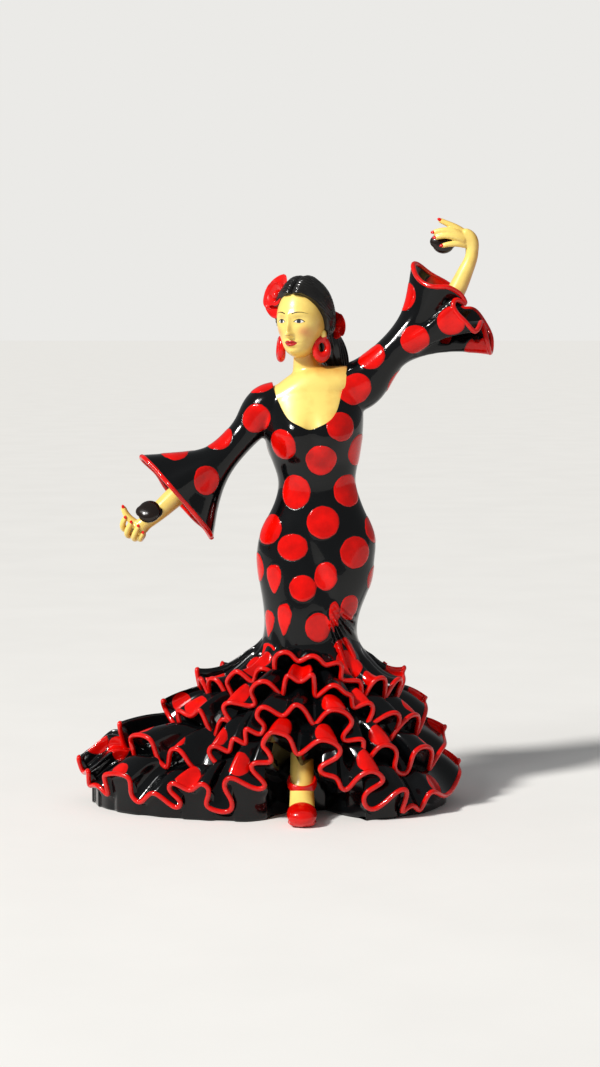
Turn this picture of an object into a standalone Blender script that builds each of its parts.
"""Flamenco dancer figurine, cast in polyresin as separate pieces that are pinned and glued.

Frame: +Z up, the dancer faces -Y, +X is the dancer's left. The origin lies on the underside of the
felt pad, on the vertical axis through the waist. Sizes are in millimetres and become metres when a
mesh is made. "Right" and "left" in names are the dancer's own.
"""

import math

import bmesh
import bpy
import numpy as np
from mathutils import Matrix, Vector

MM = 0.001

# ---- driving dimensions -------------------------------------------------------------------------
GLUE_GAP = 0.3           # clearance between two castings that are glued together
SKIN_RECESS = 0.5        # how far bare skin lies below the painted cloth beside it
BODY_SIDES = 24          # facets round the torso
SEAT_STATIONS = 6        # torso stations that the skirt is fitted to

BODY_BOTTOM = 70.0       # where the dress body stands on the skirt core
CORE_TOP_HALF_WIDTH = 23.0
CORE_TOP_HALF_DEPTH = 18.0
CORE_FOOT_HALF_WIDTH = 36.0
CORE_FOOT_FRONT = 21.0
CORE_FOOT_BACK = 36.0
CORE_SIDES = 48

FELT_THICKNESS = 1.5
FELT_INSET = 4.0         # width of the casting's rim round the felt
FELT_MARGIN = 1.5        # clearance round the felt
HEM_RIM_HEIGHT = 0.4     # the rim's height over the table

FLOUNCE_COUNT = 4
WAVES_ROUND_HEM = 20
SAMPLES_PER_WAVE = 4
HEM_RIGHT_REACH = (57.0, 75.0, 97.0, 118.0)    # towards -X, where the train spreads
HEM_LEFT_REACH = (49.0, 60.0, 70.0, 77.0)      # towards +X
HEM_FRONT_REACH = (34.0, 41.0, 48.0, 54.0)
HEM_BACK_REACH = (37.0, 47.0, 58.0, 68.0)
HEM_SIDE_HEIGHT = (61.5, 45.5, 31.0, 14.5)
HEM_FRONT_HEIGHT = (78.0, 66.0, 53.0, 42.0)
HEM_FRONT_SHARPNESS = (2.1, 2.8, 3.8, 6.0)
HEM_WAVE_HEIGHT = (4.5, 5.5, 6.5, 7.0)
FLOUNCE_SIDE_RISE = 21.0                       # from the hem up to the body, at the sides
FLOUNCE_FRONT_RISE = 8.0                       # and at the front
FLOUNCE_WALL = 4.0                             # least height between two flounces
HEM_THICKNESS = 2.2
HEM_OVERHANG = 4.0                             # how far a hem stands out over the wall below it
ALCOVE_HALF_ANGLE = math.radians(34.0)         # the front opening that shows the leg
ALCOVE_ROOF = 2.5
SEAM_SHARES = (0.0, 0.5, 1.0)                  # where a seam between two flounces is sampled
TOP_SHARES = (0.0, 0.35, 0.7, 1.0)             # and the top of the highest one

HEAD_CENTRE = (-3.5, -1.0, 246.5)
HEAD_HALF_SIZE = (12.6, 14.6, 17.4)            # ear to ear, face to back, chin to crown
HEAD_TURN = math.radians(-30.0)                # towards the dancer's right
HAIR_THICKNESS = 2.2
HAIR_OFFSET = (0.0, -1.2, 1.4)                 # right, face, up from the head's centre
FACE_OPENING_OFFSET = (0.0, 16.0, -9.0)
FACE_OPENING_HALF_SIZE = (15.5, 16.0, 22.0)
NAPE_SHARE = 0.632                              # how far down the head the hair reaches at the nape
HOOP_TURN = math.radians(50.0)                 # how far a hoop turns out from the face
PETAL_LEVELS = ((0.55, -0.45, 0.04), (1.0, -0.15, 0.13), (0.92, 0.18, 0.13), (0.45, 0.42, 0.04))
JAW_OFFSET = (0.0, 3.2, -10.5)                 # right, face, up
JAW_HALF_SIZE = (8.8, 9.4, 9.4)
SIDE_FLOWER_OFFSET = (12.0, 2.5, 10.0)
SIDE_FLOWER_RADIUS = 10.5
BACK_FLOWER_OFFSET = (-11.0, -12.5, -3.5)
BACK_FLOWER_RADIUS = 6.8
PETALS = 5
EARLOBE_OFFSET = (11.8, -0.5, -13.4)
HOOP_RADIUS = 3.9
HOOP_THICKNESS_RADIUS = 1.5

# The tail of hair: centre x, y, z, radius across, radius deep.
TAIL_PATH = (
    (4.0, 10.5, 244.0, 6.2, 5.0), (8.5, 13.5, 237.5, 5.8, 4.8), (12.5, 14.0, 230.5, 4.8, 4.2),
    (16.0, 14.5, 223.5, 3.6, 3.2), (18.2, 14.8, 218.0, 2.0, 1.8),
)

CASTANET_RADIUS = 5.8
CASTANET_DEPTH = 2.7
CASTANET_EAR = 0.16      # how far the ear reaches past the round edge, as a share of the radius
CASTANET_SPLIT = 0.5     # gap between the two shells of a pair

# Steel pins: one end, the other end, radius.
BODY_PIN = ((2.0, 0.0, 48.0), (2.0, 0.0, 100.0), 2.0)
NECK_PIN = ((-1.8, 2.0, 216.0), (-2.4, 1.0, 246.0), 1.2)
LEFT_SHOULDER_PIN = ((6.0, 1.0, 186.0), (30.0, 0.8, 217.0), 1.5)
RIGHT_SHOULDER_PIN = ((-4.0, 1.0, 184.0), (-26.0, 0.0, 197.0), 1.5)
LEFT_ARM_WIRE = ((52.0, -0.6, 237.4), (67.5, -1.5, 251.8), 0.8)
RIGHT_ARM_WIRE = ((-48.0, -5.0, 173.8), (-64.5, -9.3, 160.2), 0.8)
LEG_PIN = ((-4.0, -10.0, 36.0), (-4.0, -29.5, 33.5), 1.2)
PIN_CLEARANCE = 0.3

# Torso stations from the knees up: height, right edge, left edge, front, back.
TORSO_STATIONS = (
    (BODY_BOTTOM, -30.0, 31.0, -24.0, 25.0),
    (78.0, -27.0, 27.6, -22.5, 23.5),
    (84.0, -24.4, 24.8, -21.5, 22.5),
    (92.0, -23.2, 24.2, -21.0, 22.0),
    (103.0, -23.9, 27.2, -20.5, 22.5),
    (114.0, -25.7, 31.3, -20.0, 24.0),
    (125.0, -26.9, 32.8, -19.5, 25.5),
    (134.0, -26.2, 33.3, -18.5, 24.5),
    (142.0, -23.7, 31.3, -17.5, 21.5),
    (150.0, -19.6, 27.6, -16.0, 17.5),
    (158.0, -16.7, 24.6, -15.0, 15.0),
    (165.0, -16.1, 23.1, -15.0, 14.0),
    (173.0, -18.4, 24.2, -17.0, 14.0),
    (181.0, -21.3, 25.6, -20.0, 14.5),
    (188.0, -23.0, 26.6, -21.5, 15.0),
    (196.0, -23.5, 27.0, -20.0, 15.0),
    (204.0, -22.8, 26.6, -16.0, 14.0),
    (211.0, -20.8, 25.0, -12.0, 12.5),
    (216.5, -15.5, 22.5, -9.0, 11.0),
    (221.0, -9.5, 19.5, -7.5, 9.5),
)

# The neckline, seen from the front, from the right shoulder round to the left one: x, z.
NECKLINE = (
    (-19.3, 215.0), (-17.0, 207.5), (-14.0, 200.5), (-10.0, 195.0), (-5.0, 192.6), (-0.5, 191.4),
    (5.0, 193.6), (10.5, 197.0), (13.5, 201.0), (15.2, 207.0), (16.8, 213.5), (18.8, 223.0),
)
NECKLINE_TOP = 240.0
NECK_PATH = ((-0.5, 3.0, 205.0, 8.6), (-1.0, 2.6, 222.0, 8.0), (-2.0, 1.6, 236.0, 7.6))   # x, y, z, radius

# Sleeves: centre x, y, z, half height in the plane of the arm, half depth.
LEFT_SLEEVE = (
    (14.0, 1.0, 209.0, 11.5, 10.0),
    (25.3, 1.0, 213.5, 12.6, 10.5),
    (33.0, 0.5, 220.5, 10.4, 9.6),
    (41.0, 0.0, 229.0, 8.7, 8.6),
    (49.0, -0.4, 235.5, 10.6, 9.4),
    (56.5, -0.8, 240.8, 14.6, 11.0),
    (64.5, -1.4, 246.4, 21.5, 13.5),
    (71.7, -2.0, 251.5, 29.5, 16.5),
)
RIGHT_SLEEVE = (
    (-12.0, 1.0, 205.0, 10.0, 10.0),
    (-21.5, 0.6, 201.5, 11.5, 10.5),
    (-30.2, -0.8, 192.3, 8.6, 9.0),
    (-38.0, -2.6, 183.5, 7.7, 8.2),
    (-46.5, -4.6, 175.0, 9.4, 8.8),
    (-53.5, -6.2, 169.0, 14.0, 10.5),
    (-60.5, -7.8, 163.2, 20.5, 12.5),
    (-66.8, -9.2, 157.8, 27.0, 14.5),
)
SLEEVE_SIDES = 24
SLEEVE_WALL = 2.4
SLEEVE_CUP_FROM = 5      # the station where the hollow of a flared cuff begins

# Forearms: centre x, y, z and radius.
LEFT_FOREARM = (
    (63.0, -1.2, 246.0, 4.9), (72.5, -1.8, 259.0, 4.6), (78.0, -2.2, 270.5, 3.9),
    (81.0, -2.4, 279.5, 3.5), (79.6, -2.6, 286.0, 4.2),
)
RIGHT_FOREARM = (
    (-58.5, -7.4, 165.0, 5.6), (-68.5, -10.6, 156.8, 5.3), (-76.5, -13.2, 149.6, 4.6),
    (-82.5, -14.6, 144.6, 4.8), (-87.5, -15.4, 141.4, 4.6),
)

# Fingers: points from the knuckle to the tip, with radii. The thumb comes last.
LEFT_FINGERS = (
    ((77.0, -3.4, 288.6, 2.4), (70.0, -3.8, 293.4, 1.7), (61.6, -3.8, 296.2, 1.1)),
    ((76.5, -4.2, 287.0, 2.4), (68.5, -5.0, 290.8, 1.7), (60.8, -4.0, 289.6, 1.2)),
    ((76.5, -4.0, 284.6, 2.4), (69.0, -5.2, 287.2, 1.7), (62.2, -4.4, 286.6, 1.2)),
    ((77.0, -3.2, 282.4, 2.2), (71.5, -4.6, 283.4, 1.6), (65.4, -4.2, 282.8, 1.1)),
    ((78.0, -0.5, 284.0, 2.4), (73.5, 5.5, 287.2, 1.8), (67.0, 6.6, 288.8, 1.3)),
)
RIGHT_FINGERS = (
    ((-90.5, -15.5, 142.0, 2.2), (-94.8, -20.0, 141.6, 1.7), (-93.2, -23.6, 147.6, 1.2)),
    ((-89.0, -16.0, 140.2, 2.2), (-92.2, -21.6, 138.6, 1.7), (-90.2, -26.0, 145.6, 1.2)),
    ((-87.0, -16.0, 138.8, 2.2), (-89.0, -22.0, 136.8, 1.7), (-86.2, -27.0, 144.0, 1.2)),
    ((-84.8, -15.6, 138.4, 2.1), (-86.2, -21.4, 135.8, 1.6), (-84.4, -25.8, 140.4, 1.1)),
    ((-89.5, -15.0, 143.4, 2.4), (-93.8, -14.6, 148.2, 1.9), (-96.4, -14.4, 152.6, 1.3)),
)

LEFT_CASTANET_CENTRE = (66.8, 0.9, 284.6)
LEFT_CASTANET_AXIS = (0.10, 0.97, -0.20)
RIGHT_CASTANET_CENTRE = (-82.6, -22.0, 149.0)
RIGHT_CASTANET_AXIS = (0.10, 0.95, 0.30)

# The right leg, from the knee side down to the ball of the foot: x, y, z, radius across, radius deep.
LEG_PATH = (
    (-4.0, -28.5, 34.5, 5.4, 5.4), (-4.0, -32.0, 27.5, 5.5, 5.4), (-4.0, -35.6, 19.0, 5.1, 4.8),
    (-4.0, -39.8, 12.5, 5.0, 4.6), (-4.0, -46.5, 8.4, 5.6, 3.8), (-4.0, -54.0, 4.8, 6.0, 2.8),
)
SHOE_PATH = (
    (-4.0, -46.5, 5.2, 6.3, 4.4), (-4.0, -51.0, 5.0, 7.2, 4.4), (-4.0, -56.5, 4.8, 7.3, 4.2),
    (-4.0, -60.8, 4.2, 5.6, 3.5), (-4.0, -62.6, 3.9, 3.0, 2.2),
)
SOLE_PATH = (
    (-4.0, -36.0, 9.6, 4.6, 1.6), (-4.0, -42.0, 6.6, 4.6, 1.8), (-4.0, -48.0, 3.2, 5.4, 2.0),
    (-4.0, -52.0, 2.4, 5.6, 1.6),
)
STRAP_PATH = ((-4.0, -39.0, 12.0, 6.0, 5.6), (-4.0, -42.6, 12.6, 6.1, 5.4))
HEEL_FOOT = (-4.0, -38.0, 0.4)
HEEL_TOP = (-4.0, -38.0, 10.5)
HEEL_RADIUS = 2.6
LEG_ACROSS = Vector((0, -1, 1))
UPWARD = Vector((0, 0, 1))

COLOURS = {
    "black_enamel": ((0.008, 0.008, 0.009), 0.08),
    "red_enamel": ((0.72, 0.012, 0.006), 0.10),
    "skin_enamel": ((0.90, 0.62, 0.20), 0.15),
    "hair_enamel": ((0.010, 0.010, 0.011), 0.12),
    "castanet_enamel": ((0.018, 0.010, 0.008), 0.10),
    "pin_steel": ((0.55, 0.55, 0.56), 0.35),
    "felt": ((0.012, 0.012, 0.012), 0.95),
}


# ---- helpers ------------------------------------------------------------------------------------
def clear_scene():
    for obj in list(bpy.data.objects):
        bpy.data.objects.remove(obj)


def material(name):
    """The Principled material of one finish, made once."""
    found = bpy.data.materials.get(name)
    if found:
        return found
    colour, roughness = COLOURS[name]
    made = bpy.data.materials.new(name)
    made.use_nodes = True
    shader = made.node_tree.nodes["Principled BSDF"]
    shader.inputs["Base Color"].default_value = (*colour, 1.0)
    shader.inputs["Roughness"].default_value = roughness
    shader.inputs["Metallic"].default_value = 1.0 if name == "pin_steel" else 0.0
    return made


def add_object(name, bm, finish, cutter=False):
    """Turns a bmesh in millimetres into a named object in metres."""
    bmesh.ops.scale(bm, vec=(MM, MM, MM), verts=bm.verts)
    bmesh.ops.recalc_face_normals(bm, faces=bm.faces)
    mesh = bpy.data.meshes.new(name)
    bm.to_mesh(mesh)
    bm.free()
    mesh.shade_smooth()
    mesh.set_sharp_from_angle(angle=math.radians(50))
    obj = bpy.data.objects.new(name, mesh)
    bpy.context.scene.collection.objects.link(obj)
    if cutter:
        obj.hide_render = True
        obj.display_type = "WIRE"
    else:
        mesh.materials.append(material(finish))
    return obj


def skin_rings(bm, rings, closed_tube=False):
    """Faces between neighbouring rings of points, with flat caps unless the tube closes on itself."""
    loops = [[bm.verts.new(point) for point in ring] for ring in rings]
    count = len(loops[0])
    pairs = list(zip(loops, loops[1:]))
    if closed_tube:
        pairs.append((loops[-1], loops[0]))
    for lower, upper in pairs:
        for i in range(count):
            j = (i + 1) % count
            bm.faces.new((lower[i], lower[j], upper[j], upper[i]))
    if not closed_tube:
        bm.faces.new(loops[0][::-1])
        bm.faces.new(loops[-1])


def solid_from_rings(name, rings, finish, cutter=False, closed_tube=False):
    bm = bmesh.new()
    skin_rings(bm, rings, closed_tube)
    return add_object(name, bm, finish, cutter)


def boolean(obj, other, operation):
    modifier = obj.modifiers.new(f"{operation.lower()}_{other.name}", "BOOLEAN")
    modifier.operation = operation
    modifier.solver = "EXACT"
    modifier.object = other


def cut(obj, *cutters):
    for cutter in cutters:
        boolean(obj, cutter, "DIFFERENCE")


def join(obj, *others):
    for other in others:
        boolean(obj, other, "UNION")


def tube_rings(stations, sides, grow=0.0, extend=0.0, across=Vector((0, 1, 0))):
    """Elliptical rings along a path of (x, y, z, radius in the path's plane[, radius along `across`])."""
    centres = [Vector(s[:3]) for s in stations]
    rings = []
    for i, station in enumerate(stations):
        before = centres[max(i - 1, 0)]
        after = centres[min(i + 1, len(centres) - 1)]
        along = (after - before).normalized()
        side = along.cross(across).normalized()
        deep = side.cross(along).normalized()
        centre = centres[i].copy()
        if i == 0:
            centre -= along * extend
        if i == len(centres) - 1:
            centre += along * extend
        r_side = station[3] + grow
        r_deep = (station[4] if len(station) > 4 else station[3]) + grow
        angles = [2 * math.pi * k / sides for k in range(sides)]
        rings.append([centre + side * r_side * math.cos(a) + deep * r_deep * math.sin(a) for a in angles])
    return rings


def tube(name, stations, sides, finish, grow=0.0, extend=0.0, cutter=False, across=Vector((0, 1, 0))):
    return solid_from_rings(name, tube_rings(stations, sides, grow, extend, across), finish, cutter)


def head_point(right, face, up):
    """A point given in the head's own directions, in millimetres from its centre."""
    return Vector(HEAD_CENTRE) + Matrix.Rotation(HEAD_TURN, 3, "Z") @ Vector((-right, -face, up))


def ellipsoid(name, centre, half_size, finish, grow=0.0, cutter=False, rows=12, sides=20):
    """An ellipsoid that faces the way the head does."""
    bm = bmesh.new()
    bmesh.ops.create_uvsphere(bm, u_segments=sides, v_segments=rows, radius=1.0)
    size = Matrix.Diagonal((*(h + grow for h in half_size), 1.0))
    place = Matrix.Translation(centre) @ Matrix.Rotation(HEAD_TURN, 4, "Z")
    bmesh.ops.transform(bm, matrix=place @ size, verts=bm.verts)
    return add_object(name, bm, finish, cutter)


def box(name, low, high):
    bm = bmesh.new()
    bmesh.ops.create_cube(bm, size=1.0)
    low, high = Vector(low), Vector(high)
    place = Matrix.Translation((low + high) / 2) @ Matrix.Diagonal((*(high - low), 1.0))
    bmesh.ops.transform(bm, matrix=place, verts=bm.verts)
    return add_object(name, bm, None, cutter=True)


def rod(name, start, end, radius, finish, grow=0.0, cutter=False):
    """A straight round rod, lengthened by grow at both ends."""
    start, end = Vector(start), Vector(end)
    along = (end - start).normalized()
    bm = bmesh.new()
    length = (end - start).length + 2 * grow
    bmesh.ops.create_cone(
        bm, cap_ends=True, segments=12, radius1=radius + grow, radius2=radius + grow, depth=length
    )
    turn = along.to_track_quat("Z", "Y").to_matrix().to_4x4()
    bmesh.ops.transform(bm, matrix=Matrix.Translation((start + end) / 2) @ turn, verts=bm.verts)
    return add_object(name, bm, finish, cutter)


def pin_with_bores(name, start, end, radius, *pieces):
    """A steel pin, and its bore through each piece that it holds together."""
    rod(name, start, end, radius, "pin_steel")
    bore = rod(name + "_bore", start, end, radius, None, grow=PIN_CLEARANCE, cutter=True)
    for piece in pieces:
        cut(piece, bore)


# ---- skirt --------------------------------------------------------------------------------------
def quadrant_radius(angle, right, left, front, back):
    """Radius of an oval made of four quarter ellipses, in the direction `angle`."""
    c, s = math.cos(angle), math.sin(angle)
    a = left if c > 0 else right
    b = back if s > 0 else front
    return 1 / math.hypot(c / a, s / b)


def core_radius(angle, z):
    """The skirt core is an oval cone that spreads towards the table."""
    share = 1 - z / TORSO_STATIONS[2][0]
    half_width = CORE_TOP_HALF_WIDTH + (CORE_FOOT_HALF_WIDTH - CORE_TOP_HALF_WIDTH) * share
    front = CORE_TOP_HALF_DEPTH + (CORE_FOOT_FRONT - CORE_TOP_HALF_DEPTH) * share
    back = CORE_TOP_HALF_DEPTH + (CORE_FOOT_BACK - CORE_TOP_HALF_DEPTH) * share
    return quadrant_radius(angle, half_width, half_width, front, back)


def hem_radius(tier, angle):
    return quadrant_radius(
        angle, HEM_RIGHT_REACH[tier], HEM_LEFT_REACH[tier], HEM_FRONT_REACH[tier], HEM_BACK_REACH[tier]
    )


def front_share(tier, angle):
    """1 at the front, falling to 0 at the sides: how far the flounces are lifted over the leg."""
    return max(0.0, -math.sin(angle)) ** HEM_FRONT_SHARPNESS[tier]


def hem_angles():
    """Directions round the skirt, evenly spaced along the lowest hem."""
    fine = np.linspace(-math.pi, math.pi, 2001)
    radius = np.array([hem_radius(FLOUNCE_COUNT - 1, a) for a in fine])
    points = np.stack([radius * np.cos(fine), radius * np.sin(fine)], axis=1)
    along = np.concatenate([[0], np.cumsum(np.linalg.norm(np.diff(points, axis=0), axis=1))])
    count = WAVES_ROUND_HEM * SAMPLES_PER_WAVE
    steps = np.arange(count) / count
    return np.interp(steps * along[-1], along, fine), steps


def wave(tier, step):
    """Rise and fall of the flounce's folds; each tier's folds lie between those of the one above."""
    return math.cos(2 * math.pi * WAVES_ROUND_HEM * step + tier * math.pi / 2)


def flounce_height(tier, angle, step, radius):
    """Height of a flounce's upper surface at a distance from the axis, kept below the one above."""
    if tier >= FLOUNCE_COUNT:
        return FELT_THICKNESS + GLUE_GAP
    lift = front_share(tier, angle)
    hem = HEM_SIDE_HEIGHT[tier] + (HEM_FRONT_HEIGHT[tier] - HEM_SIDE_HEIGHT[tier]) * lift
    rise = FLOUNCE_SIDE_RISE + (FLOUNCE_FRONT_RISE - FLOUNCE_SIDE_RISE) * lift
    inner = core_radius(angle, hem + rise)
    share = min(max((radius - inner) / (hem_radius(tier, angle) - inner), 0.0), 1.0)
    height = hem + rise * (1 - share) ** 2 + HEM_WAVE_HEIGHT[tier] * share**2 * wave(tier, step)
    if tier == 0:
        return height
    return min(height, flounce_height(tier - 1, angle, step, radius) - FLOUNCE_WALL)


def in_alcove(angle):
    return abs(angle + math.pi / 2) < ALCOVE_HALF_ANGLE


def seam_radii(tier, angle, step):
    """Where a flounce meets the one above it: from the core out to the upper one's hem."""
    outer = hem_radius(tier - 1, angle) - HEM_OVERHANG
    radius = core_radius(angle, HEM_SIDE_HEIGHT[tier - 1])
    for _ in range(4):
        radius = core_radius(angle, flounce_height(tier, angle, step, radius)) + GLUE_GAP
    inner = min(radius, outer - GLUE_GAP)
    return [inner + (outer - inner) * share for share in SEAM_SHARES]


def flounce_outline(tier, angle, step):
    """One closed outline of a flounce in the half plane through the axis: (radius, height) points.

    It runs out along the top, down the hem and back in along the underside.
    """
    outer = hem_radius(tier, angle)

    def height(radius):
        return flounce_height(tier, angle, step, radius)

    if tier == 0:
        inner = core_radius(angle, height(0.0)) + GLUE_GAP
        top = [inner + (outer - inner) * share for share in TOP_SHARES]
    else:
        seam = seam_radii(tier, angle, step)
        top = [*seam, (seam[-1] + outer) / 2, outer]
    points = [(radius, height(radius)) for radius in top]
    points.append((outer, height(outer) - HEM_THICKNESS))
    if tier == FLOUNCE_COUNT - 1:
        foot = outer - HEM_OVERHANG
        rim = foot - FELT_INSET
        inside = core_radius(angle, FELT_THICKNESS) + GLUE_GAP
        roof = FELT_THICKNESS + GLUE_GAP
        if in_alcove(angle):
            inside = top[0]
            return points + [(r, height(r) - ALCOVE_ROOF) for r in (foot, rim, (rim + inside) / 2, inside)]
        under = [(foot, HEM_RIM_HEIGHT), (rim, HEM_RIM_HEIGHT), (rim - GLUE_GAP, roof), (inside, roof)]
        return points + under
    under = seam_radii(tier + 1, angle, step)[::-1]
    return points + [(r, flounce_height(tier + 1, angle, step, r) + GLUE_GAP) for r in under]


def skin_flounce(bm, outlines, top_count):
    """Triangles between neighbouring outlines, split the same way on the top and on the underside."""
    loops = [[bm.verts.new(point) for point in ring] for ring in outlines]
    count = len(loops[0])
    for lower, upper in zip(loops, loops[1:] + loops[:1]):
        for i in range(count):
            j = (i + 1) % count
            if i < top_count - 1:
                bm.faces.new((lower[i], lower[j], upper[j]))
                bm.faces.new((lower[i], upper[j], upper[i]))
            else:
                bm.faces.new((lower[i], lower[j], upper[i]))
                bm.faces.new((lower[j], upper[j], upper[i]))


def make_flounces():
    angles, steps = hem_angles()
    names = ("top_flounce", "second_flounce", "third_flounce", "hem_flounce")
    flounces = []
    for tier, name in enumerate(names):
        rings = []
        for angle, step in zip(angles, steps):
            outline = flounce_outline(tier, angle, step)
            rings.append([Vector((r * math.cos(angle), r * math.sin(angle), z)) for r, z in outline])
        bm = bmesh.new()
        skin_flounce(bm, rings, len(TOP_SHARES) if tier == 0 else len(SEAM_SHARES) + 2)
        flounces.append(add_object(name, bm, "black_enamel"))
    for flounce in flounces[:2]:
        seat = solid_from_rings(flounce.name + "_seat", torso_rings(GLUE_GAP, True), None, cutter=True)
        cut(flounce, seat)
    return flounces


def core_ring(z, grow=0.0):
    ring = []
    for i in range(CORE_SIDES):
        angle = 2 * math.pi * i / CORE_SIDES
        radius = core_radius(angle, z) + grow
        ring.append(Vector((radius * math.cos(angle), radius * math.sin(angle), z)))
    return ring


def make_skirt_core():
    rings = [core_ring(FELT_THICKNESS + GLUE_GAP), core_ring(BODY_BOTTOM - GLUE_GAP)]
    return solid_from_rings("skirt_core", rings, "black_enamel")


def make_felt_pad():
    """Felt under the core and inside the hem's rim, cut away at the alcove."""
    outline = []
    for i in range(96):
        angle = 2 * math.pi * (i + 0.5) / 96 - math.pi
        radius = hem_radius(FLOUNCE_COUNT - 1, angle) - HEM_OVERHANG - FELT_INSET - FELT_MARGIN
        if abs(angle + math.pi / 2) < ALCOVE_HALF_ANGLE + math.radians(6):
            radius = core_radius(angle, 0) - 1.0
        outline.append((radius * math.cos(angle), radius * math.sin(angle)))
    rings = [[Vector((x, y, z)) for x, y in outline] for z in (0.0, FELT_THICKNESS)]
    solid_from_rings("felt_pad", rings, "felt")


# ---- torso --------------------------------------------------------------------------------------
def torso_rings(grow=0.0, skirt_only=False):
    rings = []
    for z, right, left, front, back in TORSO_STATIONS[: SEAT_STATIONS if skirt_only else None]:
        centre_x = (right + left) / 2
        half_width = (left - right) / 2 + grow
        ring = []
        for i in range(BODY_SIDES):
            angle = 2 * math.pi * i / BODY_SIDES
            depth = (back if math.sin(angle) > 0 else -front) + grow
            ring.append(Vector((centre_x + half_width * math.cos(angle), depth * math.sin(angle), z)))
        rings.append(ring)
    if skirt_only:
        for point in rings[0]:
            point.z -= GLUE_GAP
    return rings


def neckline_cutter(name, shrink):
    """A prism through the body, front to back, of the shape of the neckline."""
    centre = Vector((-0.5, 0.0, 225.0))
    outline = [Vector((x, 0.0, z)) for x, z in NECKLINE]
    outline = [p + (centre - p).normalized() * shrink for p in outline]
    outline += [Vector((outline[-1].x, 0.0, NECKLINE_TOP)), Vector((outline[0].x, 0.0, NECKLINE_TOP))]
    rings = [[Vector((p.x, y, p.z)) for p in outline] for y in (-40.0, 40.0)]
    return solid_from_rings(name, rings, None, cutter=True)


def make_torso():
    body = solid_from_rings("dress_body", torso_rings(), "black_enamel")
    cut(body, neckline_cutter("neckline_opening", 0.0))
    chest = solid_from_rings("chest_and_neck", torso_rings(-SKIN_RECESS), "skin_enamel")
    boolean(chest, neckline_cutter("neckline_seat", GLUE_GAP), "INTERSECT")
    join(chest, tube("neck_form", NECK_PATH, 20, None, cutter=True))
    return body, chest


# ---- arms ---------------------------------------------------------------------------------------
def make_sleeve(name, stations, body, chest):
    """A sleeve seated in the body's armhole, with a hollow flared cuff."""
    sleeve = tube(name, stations, SLEEVE_SIDES, "black_enamel")
    seat = tube(name + "_seat", stations, SLEEVE_SIDES, None, grow=GLUE_GAP, extend=GLUE_GAP, cutter=True)
    cut(body, seat)
    cut(chest, seat)
    hollow = [
        (x, y, z, a - SLEEVE_WALL, b - SLEEVE_WALL) for x, y, z, a, b in stations[SLEEVE_CUP_FROM:]
    ]
    last, before = Vector(hollow[-1][:3]), Vector(hollow[-2][:3])
    beyond = last + (last - before).normalized() * 2
    hollow.append((*beyond, hollow[-1][3] + 2.5, hollow[-1][4] + 1.5))
    cut(sleeve, tube(name + "_hollow", hollow, SLEEVE_SIDES, None, cutter=True))
    return sleeve


def make_arm(name, forearm, fingers, sleeve):
    """Forearm, palm and fingers in one casting; its end sits in the bottom of the cuff's hollow."""
    arm = tube(name, forearm, 12, "skin_enamel")
    for i, finger in enumerate(fingers):
        join(arm, tube(f"{name}_finger_{i}", finger, 8, None, cutter=True, across=Vector((0.3, 0.9, 0.3))))
    socket = tube(name + "_socket", forearm[:2], 12, None, grow=GLUE_GAP, extend=GLUE_GAP, cutter=True)
    cut(sleeve, socket)
    return arm


def castanet_shell(name, centre, axis, side, finish, grow=0.0, cutter=False):
    """One domed shell with an ear. side is 1 or -1 along the pair's axis."""
    centre = Vector(centre)
    turn = (Vector(axis).normalized() * side).to_track_quat("Z", "Y").to_matrix()
    rings = []
    for share in (0.0, 0.22, 0.44, 0.66, 0.88):
        lift = math.pi / 2 * share
        height = CASTANET_SPLIT / 2 + (CASTANET_DEPTH + grow) * math.sin(lift)
        if share == 0:
            height -= grow
        ring = []
        for i in range(20):
            angle = 2 * math.pi * i / 20
            ear = 1 + CASTANET_EAR * max(0.0, math.cos(angle)) ** 6
            radius = (CASTANET_RADIUS + grow) * math.cos(lift)
            flat = Vector((radius * ear * math.cos(angle), radius * math.sin(angle), height))
            ring.append(centre + turn @ flat)
        rings.append(ring)
    return solid_from_rings(name, rings, finish, cutter)


def make_castanets(side_name, centre, axis, arm):
    for shell_name, side in (("front", -1), ("back", 1)):
        name = f"{side_name}_castanet_{shell_name}_shell"
        castanet_shell(name, centre, axis, side, "castanet_enamel")
        cut(arm, castanet_shell(name + "_room", centre, axis, side, None, GLUE_GAP, True))


# ---- head ---------------------------------------------------------------------------------------
def make_head(chest):
    head = ellipsoid("head", HEAD_CENTRE, HEAD_HALF_SIZE, "skin_enamel")
    jaw_centre = head_point(*JAW_OFFSET)
    join(head, ellipsoid("jaw_form", jaw_centre, JAW_HALF_SIZE, None, cutter=True))
    cut(chest, ellipsoid("skull_room", HEAD_CENTRE, HEAD_HALF_SIZE, None, GLUE_GAP, True))
    cut(chest, ellipsoid("jaw_room", jaw_centre, JAW_HALF_SIZE, None, GLUE_GAP, True))
    return head


def hair_form(name, finish, grow=0.0, cutter=False):
    """The outside of the combed hair."""
    size = [half + HAIR_THICKNESS for half in HEAD_HALF_SIZE]
    return ellipsoid(name, head_point(*HAIR_OFFSET), size, finish, grow, cutter)


def make_hair():
    """A cap of combed hair over the skull, open at the face and above the nape."""
    hair = hair_form("hair_cap", "hair_enamel")
    cut(hair, ellipsoid("hair_seat", HEAD_CENTRE, HEAD_HALF_SIZE, None, GLUE_GAP, True))
    face = head_point(*FACE_OPENING_OFFSET)
    nape_height = HEAD_CENTRE[2] - NAPE_SHARE * HEAD_HALF_SIZE[2]
    cut(hair, ellipsoid("face_opening", face, FACE_OPENING_HALF_SIZE, None, 0.0, True))
    cut(hair, box("nape_opening", (-40, -40, 215), (40, 40, nape_height)))


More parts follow.
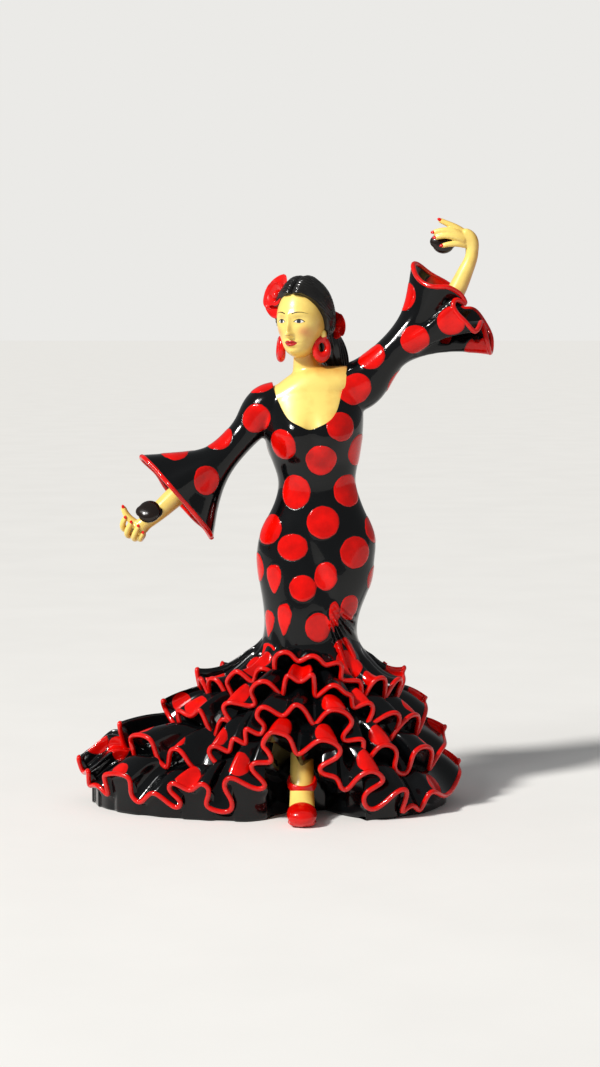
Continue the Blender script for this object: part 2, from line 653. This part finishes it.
def make_tail():
    """The low tail that lies over the left shoulder."""
    tail = tube("hair_tail", TAIL_PATH, 14, "hair_enamel")
    cut(tail, hair_form("tail_seat", None, GLUE_GAP, True))


def make_flower(name, offset, radius, facing):
    """A cloth flower: overlapping rounded petals round a bud, seated on the hair."""
    centre = head_point(*offset)
    turn = Vector(facing).normalized().to_track_quat("Z", "Y").to_matrix()
    count = PETALS * 4
    rings = []
    for share, rise, lobe_depth in PETAL_LEVELS:
        ring = []
        for i in range(count):
            angle = 2 * math.pi * i / count
            reach = radius * share * (1 + lobe_depth * math.cos(PETALS * angle))
            flat = Vector((reach * math.cos(angle), reach * math.sin(angle), radius * rise))
            ring.append(centre + turn @ flat)
        rings.append(ring)
    flower = solid_from_rings(name, rings, "red_enamel")
    cut(flower, hair_form(name + "_seat", None, GLUE_GAP, True))
    return flower


def make_earring(name, side):
    """A thick hoop hung from a small bead at the ear lobe. side is 1 for the dancer's right."""
    right, face, up = EARLOBE_OFFSET
    lobe = head_point(side * right, face, up)
    centre = lobe + Vector((0, 0, -HOOP_RADIUS - HOOP_THICKNESS_RADIUS))
    frame = Matrix.Rotation(HEAD_TURN - side * HOOP_TURN, 3, "Z")
    normal = frame @ Vector((0, 1, 0))
    rings = []
    for i in range(20):
        a = 2 * math.pi * i / 20
        radial = frame @ Vector((math.cos(a), 0, 0)) + Vector((0, 0, math.sin(a)))
        ring = []
        for k in range(8):
            b = 2 * math.pi * k / 8
            out = HOOP_RADIUS + HOOP_THICKNESS_RADIUS * math.cos(b)
            ring.append(centre + radial * out + normal * HOOP_THICKNESS_RADIUS * math.sin(b))
        rings.append(ring)
    hoop = solid_from_rings(name, rings, "red_enamel", closed_tube=True)
    join(hoop, ellipsoid(name + "_bead", lobe, (1.2, 1.2, 1.9), None, 0.0, True, 8, 10))


# ---- leg and shoe -------------------------------------------------------------------------------
def make_leg():
    """The bare shin and foot, and the low-heeled strap shoe round it."""
    leg = tube("leg_and_foot", LEG_PATH, 16, "skin_enamel", across=LEG_ACROSS)
    room = [core_ring(0.0, GLUE_GAP), core_ring(BODY_BOTTOM, GLUE_GAP)]
    cut(leg, solid_from_rings("core_room", room, None, cutter=True))
    shoe = tube("shoe", SHOE_PATH, 20, "red_enamel", across=UPWARD)
    join(shoe, tube("sole_form", SOLE_PATH, 16, None, cutter=True, across=UPWARD))
    join(shoe, rod("heel_form", HEEL_FOOT, HEEL_TOP, HEEL_RADIUS, None, cutter=True))
    join(shoe, tube("strap_form", STRAP_PATH, 20, None, cutter=True, across=UPWARD))
    cut(shoe, box("table_room", (-20, -80, -10), (20, -20, HEEL_FOOT[2])))
    foot = tube("foot_room", LEG_PATH[1:], 16, None, GLUE_GAP, GLUE_GAP, True, LEG_ACROSS)
    cut(shoe, foot)
    return leg


# ---- assembly -----------------------------------------------------------------------------------
def main():
    clear_scene()
    core = make_skirt_core()
    make_felt_pad()
    body, chest = make_torso()
    make_flounces()
    left_sleeve = make_sleeve("left_sleeve", LEFT_SLEEVE, body, chest)
    right_sleeve = make_sleeve("right_sleeve", RIGHT_SLEEVE, body, chest)
    left_arm = make_arm("left_forearm_and_hand", LEFT_FOREARM, LEFT_FINGERS, left_sleeve)
    right_arm = make_arm("right_forearm_and_hand", RIGHT_FOREARM, RIGHT_FINGERS, right_sleeve)
    make_castanets("left", LEFT_CASTANET_CENTRE, LEFT_CASTANET_AXIS, left_arm)
    make_castanets("right", RIGHT_CASTANET_CENTRE, RIGHT_CASTANET_AXIS, right_arm)
    head = make_head(chest)
    make_hair()
    make_tail()
    make_flower("side_flower", SIDE_FLOWER_OFFSET, SIDE_FLOWER_RADIUS, (-0.80, -0.50, 0.30))
    back_flower = make_flower("back_flower", BACK_FLOWER_OFFSET, BACK_FLOWER_RADIUS, (0.75, 0.60, 0.1))
    cut(back_flower, tube("tail_room", TAIL_PATH, 14, None, GLUE_GAP, GLUE_GAP, True))
    make_earring("right_earring", 1)
    make_earring("left_earring", -1)
    leg = make_leg()

    pin_with_bores("body_pin", *BODY_PIN, core, body)
    pin_with_bores("neck_pin", *NECK_PIN, chest, head)
    pin_with_bores("left_shoulder_pin", *LEFT_SHOULDER_PIN, body, chest, left_sleeve)
    pin_with_bores("right_shoulder_pin", *RIGHT_SHOULDER_PIN, body, chest, right_sleeve)
    pin_with_bores("left_arm_wire", *LEFT_ARM_WIRE, left_sleeve, left_arm)
    pin_with_bores("right_arm_wire", *RIGHT_ARM_WIRE, right_sleeve, right_arm)
    pin_with_bores("leg_pin", *LEG_PIN, core, leg)


main()
